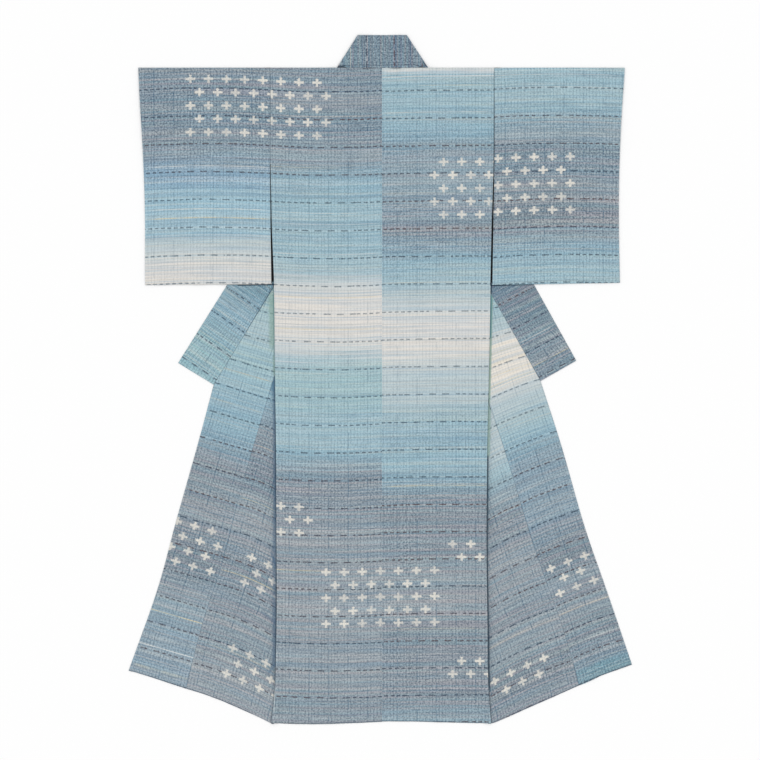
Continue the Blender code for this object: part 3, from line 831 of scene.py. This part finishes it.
# Overlaps. u is the distance from the seam to the front.
leftOverlap = {
    "bands": [("mallow", 0, .13), ("drift", .175), ("slate", .25), ("pewter", .29, .36),
        ("ash", .425), ("slate", .475, .575), ("sound", .615), ("river", .68, .73), ("aqua", .79),
        ("pool", .87), ("mist", .93), ("pool", 1), ("moss", 1.1), ("aqua", 1.35)],
    "threads": [(.1545, "straw", .95, .0013), (.061, "pearl", .9, .0012),
        (.2277, "pearl", .45, .001, 0, .16), (.1045, "paleBlue", .55, .001),
        (.0105, "paleBlue", .5, .001), (.002, "straw", .3, .004, -.01, .15),
        (.8175, "straw", .5, .0014, 0, .16), (.733, "straw", .4, .0014, 0, .16)],
    "clusters": [(.075, .345, .07, .07)],
    # marks: dark lines along the overlap seam and the hem, and painted shade beside the back's
    # side edge
    "marks": [([-.5042, -.7927, -.4546, -.608, -.4174, -.497, -.3602, -.277], .0007, "indigo", .6),
        ([-.3602, -.277, -.28, -.004], .0007, "indigo", .5),
        ([-.2795, .215, -.2775, .085], .0105, "moss", .62),
        ([-.2765, .225, -.2745, .06], .0022, "deepTeal", .5),
        ([-.2745, .06, -.2735, .014], .005, "moss", .5),
        ([-.656, -.7553, -.5832, -.7767, -.504, -.8024], .0011, "navy", .7)],
    "span": (-.01, .16), "rowShift": .0503, "long": .15, "tickShift": .025, "contrast": .86,
    "skew": .013, "ease": (.0166, .0288), "easeFrom": .705, "bow": 0, "upper": .006,
}

rightOverlap = {
    "bands": [("deepBlue", 0), ("dusk", .03, .05), ("pewter", .1), ("ash", .165), ("slate", .21),
        ("ash", .255), ("pewter", .295, .34), ("mallow", .425, .56), ("sound", .6),
        ("river", .625), ("aqua", .655), ("mist", .695), ("haze", .745), ("frost", .775),
        ("ivory", .81, .895), ("frost", .92), ("mist", .95), ("aqua", .985), ("lagoon", 1.04),
        ("aqua", 1.35)],
    "threads": [(.1715, "straw", .6, .001), (.084, "pearl", .5, .0012),
        (.8785, "straw", .6, .0014), (.852, "straw", .35, .0022), (.823, "straw", .45, .0014),
        (.8, "straw", .3, .0024)],
    "clusters": [(.07, .245, .07, .052)],
    # marks: dark lines along the overlap seam and the hem, and painted shade beside the back's
    # side edge and at the small fold in it
    "marks": [([.5162, -.7904, .4847, -.677, .4067, -.454], .0007, "indigo", .6),
        ([.4067, -.454, .3204, -.174], .0007, "indigo", .55),
        ([.3204, -.174, .286, -.064], .0007, "indigo", .45),
        ([.2895, .218, .2852, .03], .0034, "moss", .75),
        ([.2885, .218, .2862, .11], .0024, "deepTeal", .85),
        ([.2852, .03, .2825, -.06], .0034, "moss", .75),
        ([.516, -.7942, .5712, -.7689, .657, -.7385], .0011, "navy", .7),
        ([.28, -.048, .2862, -.078], .0008, "shadow", .85)],
    "span": (-.01, .16), "rowShift": .0519, "long": .15, "tickShift": .025, "contrast": .86,
    "skew": .009, "ease": (.0192, .013), "easeFrom": .85, "bow": .0027, "upper": .026,
}


def overlapStrip(side, look):
    rows = np.r_[0, .04, .1, .18, .3:16.7:1 / 6, 16.7][:, None]
    seamX, seamY = seamPoint(side, rows)
    edgeX, edgeY = edgePoint(side, rows)
    width = np.hypot(edgeX - seamX, edgeY - seamY)
    shares = between(garment["overlapGap"] / width, 1, np.r_[
        0, .008, .018, .032, .06:.96:14j, .978, .99, 1])
    x, y = between(seamX, edgeX, shares), between(seamY, edgeY, shares)
    z = garment["middle"] + seamRelief((1 - shares) * width, "frontEdge")
    rise = hemRise("front", side, x)
    run = lengthAlong(seamX[:, 0], seamY[:, 0])[:, None]
    ease, more = look["ease"]
    level = (run + rise + look["skew"] * shares - look["bow"] * bow(shares)
             - (ease + more * shares) * np.maximum(look["easeFrom"] - run, 0)
             - look["upper"] * np.maximum(run - .8, 0))
    sewSheet(f"{side}Overlap", f"overlap_{side}", np.dstack((x, y + rise, z)),
             gridFaces(*x.shape), [np.dstack((shares * width, level))],
             [silkMaterial(f"{side}OverlapSilk", look)])


overlapStrip("left", leftOverlap)
overlapStrip("right", rightOverlap)


# Collar: a folded band. u is the distance from its seam, v runs from its end to the nape.
leftCollar = {
    "bands": [("lagoon", 0, .11), ("river", .16, .2), ("deepBlue", .3, .45), ("ash", .7),
        ("slate", 1.05)],
    "threads": [(.03, "paleBlue", .5, .001), (.203, "paleBlue", .5, .001),
        (.24, "paleBlue", .5, .001), (.0865, "indigo", .45, .0006), (.0945, "indigo", .5, .0006),
        (.1025, "indigo", .45, .0006), (.111, "indigo", .5, .0006), (.119, "indigo", .35, .0006)],
    # marks: painted shadow under the sleeve's bottom edge, and a dark line along the collar seam
    "marks": [([-.37, .2452, -.2765, .2472], .0018, "shadow", .95),
        ([-.2755, .246, -.348, .124], .0016, "shadow", .6),
        ([-.348, .124, -.43, -.009], .001, "shadow", .3)],
    "span": (0, .11), "rowShift": .0165, "long": .055, "contrast": 1.15, "skew": .0044,
    "ease": .003, "easeFrom": .25,
}

rightCollar = {
    "bands": [("harbour", 0, .12), ("deep", .165, .22), ("night", .27), ("deep", .36),
        ("slate", .6, 1.05)],
    "threads": [(.037, "straw", .75, .001), (.1075, "white", .7, .001)],
    # marks: painted shadow under the sleeve's bottom edge and beside the back's side edge, and a
    # dark line along the collar seam
    "marks": [([.289, .2448, .396, .2478], .0018, "shadow", .95),
        ([.288, .246, .2874, .223], .0022, "shadow", .9),
        ([.2874, .223, .348, .116], .0012, "shadow", .4)],
    "span": (0, .115), "rowShift": .0045, "long": .055, "contrast": .85, "skew": -.004,
    "ease": .0024, "easeFrom": .15,
}

bandFold = {"wall": .0006, "middle": .00078, "radius": .00036}


def bandHeights(upper, turns, under):
    # heights across a folded band, from its upper face round its fold to its lower face
    middle, radius = bandFold["middle"], bandFold["radius"]
    return np.r_[np.full(upper, middle + radius), middle + radius * np.cos(turns),
                 np.full(under, middle - radius)]


def collarRun(side, look):
    gap, radius = garment["collarGap"], bandFold["radius"]
    rows = np.r_[0, .03, .08, .16, .3:20:1 / 5, 20]
    turn = garment["tipRow"] - garment["edgeRow"]
    lines = (twoPart(side, "collarSeamLow", "collarSeamHigh", rows, turn, 20),
             along(side, "collarFree", rows / 20))
    # at the nape both edges run on under the overcollar
    seam, free = (np.hstack((line, between(np.array(line)[:, -1:], np.array([tuck]).T,
                                           np.array([.25, .5, .75, 1]))))
                  for line, tuck in zip(lines, planEdges[side]["collarTuck"]))
    width = np.hypot(*(free - seam))[:, None]
    flat = np.r_[0, .012, .03, .07:.95:12j, .98, 1]
    turns = np.linspace(0, math.pi, 7)[1:-1]
    upper = gap + (width - gap - radius) * flat
    under = upper[:, ::-2]
    shares = np.hstack((upper, width - radius + radius * np.sin(turns), under)) / width
    spans = np.hstack((upper, width + radius * turns, 2 * width - under))
    x, y = (between(a[:, None], b[:, None], shares) for a, b in zip(seam, free))
    z = np.broadcast_to(bandHeights(upper.shape[1], turns, under.shape[1]), x.shape)
    middle = (seam + free) / 2
    run = lengthAlong(*middle)
    ahead = np.array([np.gradient(smoothed(line, 13), run) for line in middle])
    ahead[:, :8] = ahead[:, 8:9]
    (midX, midY), (aheadX, aheadY) = middle[:, :, None], (ahead / np.hypot(*ahead))[:, :, None]
    level = run[:, None] + (x - midX) * aheadX + (y - midY) * aheadY
    level = (level + look["skew"] * (1 - shares)
             - look["ease"] * np.maximum(1 - level / look["easeFrom"], 0))
    sewSheet(f"{side}Collar", f"collar_{side}", np.dstack((x, y, z)), gridFaces(*x.shape),
             [np.dstack((spans, level))], [silkMaterial(f"{side}CollarSilk", look)],
             wall=bandFold["wall"])


collarRun("left", leftCollar)
collarRun("right", rightCollar)


# Sleeves: flattened tubes. u is x, v goes on over the top fold into the layer below.
leftSleeve = {
    "bands": [("cream", .22, .285), ("frost", .32), ("haze", .355), ("sky", .385, .49),
        ("azure", .515, .54), ("mallow", .575), ("slate", .615), ("dusk", .65, .73),
        ("slate", .81), ("ash", .95), ("river", 1.05), ("aqua", 1.2), ("steel", 1.38)],
    "threads": [(.4162, "straw", .9, .0012), (.4395, "white", .6, .0011),
        (.5505, "white", .6, .0011), (.4085, "mist", .55, .006), (.366, "frost", .2, .005),
        (.626, "paleBlue", .4, .0012), (.785, "straw", .25, .0012, -.6, -.45)],
    "clusters": [(-.33, .716, .18, .086)],
    # marks: painted shade along the inner edge, in the slit between sleeve and body
    "marks": [([-.2823, .25, -.285, .42], .0008, "black", .95),
        ([-.285, .42, -.2864, .56], .0006, "black", .8)],
    "span": (-.61, -.28), "rowShift": .0304, "long": -.44, "tickShift": .0208, "shade": .5,
    "arch": .0052, "stretch": 1,
}

rightSleeve = {
    "bands": [("aqua", .22, .275), ("river", .32), ("steel", .36), ("slate", .39),
        ("pewter", .425), ("slate", .455), ("ash", .5), ("dusk", .54, .59), ("drift", .625),
        ("steel", .66), ("river", .685), ("aqua", .7, .785), ("mist", .81, .95), ("aqua", 1.1),
        ("slate", 1.38)],
    "threads": [(.783, "white", .45, .0011), (.75, "white", .5, .0011),
        (.555, "paleBlue", .3, .0011)],
    "clusters": [(.35, .5, .15, .086)],
    # marks: painted shade along the inner edge, in the slit between sleeve and body
    "marks": [([.2906, .248, .2935, .42], .0008, "black", .95),
        ([.2935, .42, .2958, .52], .0006, "black", .8)],
    "span": (.29, .63), "rowShift": .0263, "long": .455, "tickShift": .0208, "shade": .5,
    "arch": .0045, "stretch": .992,
}

tube = {"width": .335, "gap": .0004, "gape": .0009}


def sleeveTube(side, look):
    outward = planEdges[side]["outward"]
    layer, middle, top = garment["layer"], garment["middle"], garment["shoulderY"]
    bend = layer / 2
    share = np.r_[0, .004, .01, .02, .035, .06:.94:30j, .965, .982, .992, 1]
    lift = np.r_[0, .004, .012, .025, .05:.95:40j, .975, .99, 1][:, None]
    ends = []
    for name in ("sleeveInner", "sleeveCuff"):
        ys = paths[side][name][1]
        y = between(ys[0] + bend, ys[-1] - bend, lift)
        ends.append((xAt(side, name, y), y))
    x, y = (between(inner, cuff, share) for inner, cuff in zip(*ends))
    rise = middle + cover(side, x, y)
    toCuff = (1 - share) * tube["width"]
    gape = tube["gape"] * (1 - smoothStep(toCuff / .045)) * smoothStep((lift - .5) / .2)
    gape = gape * smoothStep((1 - lift) / .08)
    relief = seamRelief(np.abs(x - x[:, :1]), "side") * smoothStep((1 - lift) / .02)
    upper = np.dstack((x, y, rise + layer + gape + relief))
    # the lower layer reaches across under the slit to the body's edge, a sheet put there to carry
    # the slit's painted black shade instead of showing the floor
    reach = xAt(side, "side", y[:, :1]) + outward * tube["gap"] - x[:, :1]
    reach = reach * smoothStep(lift / .02) * smoothStep((1 - lift) / .01)
    lower = np.dstack((x + reach * (1 - smoothStep(share / .05)), y, rise))

    def turned(row, outwards):
        # a fold from one layer to the other
        turns = np.linspace(0, math.pi, 8)[1:-1, None]
        part = np.repeat(lower[row][None], len(turns), axis=0)
        part[:, :, 1] += outwards * bend * np.sin(turns)
        part[:, :, 2] += bend + outwards * bend * np.cos(turns)
        return part

    ring = np.vstack((upper, turned(-1, 1), lower[::-1], turned(0, -1)))
    count, columns = ring.shape[:2]
    inner = y[:, 0]
    levels = np.r_[inner, top + .0005 * np.arange(6), 2 * top - inner[::-1] + .003,
                   inner[0] - .0005 * np.arange(6, 0, -1)]
    v = levels[:, None] * look["stretch"] - look["arch"] * bow(share)
    uv = np.dstack((ring[:, :, 0], v))
    closing = uv.copy()
    closing[-7, :, 1] = inner[0] - .0035
    faces = gridFaces(count - 6, columns)
    for i in range(count - 7, count):
        faces += strip(i * columns, (i + 1) % count * columns, columns, uvSet=1)
    shade = np.zeros((count, columns))
    # painted shade: the inner end of the top fold and of the lower layer, under the slit, is
    # painted black
    shade[len(lift):2 * len(lift) + 6, :5] = 2
    sewSheet(f"{side}Sleeve", f"sleeve_{side}", ring, faces, (uv, closing),
             [silkMaterial(f"{side}SleeveSilk", look)], shade)


sleeveTube("left", leftSleeve)
sleeveTube("right", rightSleeve)


# Overcollar at the nape: the weft runs up and down, so u is y and v is x
overcollar = {
    "bands": [("deep", -.13, -.01), ("night", .015, .08), ("deep", .14)],
    "threads": [(-.0775, "straw", .4, .001), (-.0604, "paleBlue", .4, .0012),
        (-.014, "paleBlue", .35, .0012), (-.075, "aqua", .35, .002),
        (.0575, "paleBlue", .55, .0014)],
    # marks: painted shade in the gaps at the lower corners, and a painted shadow line along the
    # bottom edge
    "marks": [([-.111, .8122, -.0905, .816], .0016, "shadow", .9),
        ([-.093, .8172, .094, .818], .0008, "navy", .55),
        ([.093, .816, .106, .8128], .0012, "shadow", .6),
        ([.112, .824, .1215, .813], .0014, "shadow", .75)],
    "span": (.8, .9), "rowShift": .0365, "long": .9,
    "gaps": [(-.0985, .008, .003), (.107, .007, .0026)],
    "bottom": (-.1123, .1243), "top": (-.059, .0689), "topY": .895, "flat": .012, "climb": .026,
    "drop": .02, "clear": .0003,
}


def overcollarBand(look):
    radius = bandFold["radius"]
    top, bottom = look["topY"], garment["shoulderY"] + look["clear"]
    upper, under = np.r_[0, .02, .05, .09, .14, .2:1:12j], np.array([1, .9, .8, .7])
    turns = np.linspace(0, math.pi, 7)[1:-1]
    rowY = between(bottom, top - radius, np.r_[upper, turns, under])
    rowU = np.r_[rowY[:len(upper)], top + radius * turns, 2 * top - rowY[-len(under):]]
    rowY[len(upper):-len(under)] = top - radius + radius * np.sin(turns)
    rowY = rowY[:, None]
    (left, right), (topLeft, topRight) = look["bottom"], look["top"]
    share = (rowY - bottom) / (top - bottom)
    x = between(between(left, topLeft, share), between(right, topRight, share),
                np.linspace(0, 1, 81))
    y = rowY + np.zeros(x.shape)
    for place, half, depth in look["gaps"]:
        notch = depth * np.exp(-((x[:len(upper)] - place) / half) ** 2)
        y[:len(upper)] += notch * (1 - upper[:, None]) ** 6
    climb = smoothStep((np.abs(x - garment["centreX"]) - look["flat"]) / look["climb"])
    drop = smoothStep(1 - (y - garment["shoulderY"]) / look["drop"])
    z = bandHeights(len(upper), turns, len(under))[:, None] + garment["layer"] * climb * (1 + drop)
    u = np.broadcast_to(rowU[:, None], x.shape)
    sewSheet("overcollarBand", "overcollar", np.dstack((x, y, z)), gridFaces(*x.shape),
             [np.dstack((u, x))], [silkMaterial("overcollarSilk", look)], wall=bandFold["wall"])


overcollarBand(overcollar)


# Studio
studio = {
    "floorSize": 60, "floorTone": .97, "floorDrop": .0002,
    "lamps": {"keySun": ((-.55, .5, 1.0), .62, 14), "fillSun": ((.6, -.35, 1.0), .25, 40)},
    "skyStrength": .8,
    "cameraPlace": (-.0008, -.0013, 6.0), "frameWidth": 1.976, "sensor": 36,
}

bpy.ops.mesh.primitive_plane_add(size=studio["floorSize"], location=(0, 0, -studio["floorDrop"]))
floor = bpy.context.object
floor.name = "floor"
paper = bpy.data.materials.new("floorPaper")
paper.use_nodes = True
feed(paper.node_tree.nodes["Principled BSDF"], {
    "Base Color": (studio["floorTone"],) * 3 + (1,), "Roughness": .95, "Specular IOR Level": 0})
floor.data.materials.append(paper)

for name, (place, power, spread) in studio["lamps"].items():
    light = bpy.data.lights.new(name, "SUN")
    light.energy = power
    light.angle = math.radians(spread)
    lamp = bpy.data.objects.new(name, light)
    lamp.location = Vector(place) * 3
    lamp.rotation_euler = (-Vector(place)).to_track_quat("-Z", "Y").to_euler()
    bpy.context.scene.collection.objects.link(lamp)
world = bpy.data.worlds.new("studioWorld")
bpy.context.scene.world = world
world.use_nodes = True
feed(world.node_tree.nodes["Background"], {
    "Color": (1, 1, 1, 1), "Strength": studio["skyStrength"]})

lens = bpy.data.cameras.new("camera")
lens.sensor_width = studio["sensor"]
lens.lens = studio["sensor"] * studio["cameraPlace"][2] / studio["frameWidth"]
camera = bpy.data.objects.new("camera", lens)
camera.location = studio["cameraPlace"]
bpy.context.scene.collection.objects.link(camera)
bpy.context.scene.camera = camera
bpy.context.scene.view_settings.view_transform = "Standard"
print("studio set")
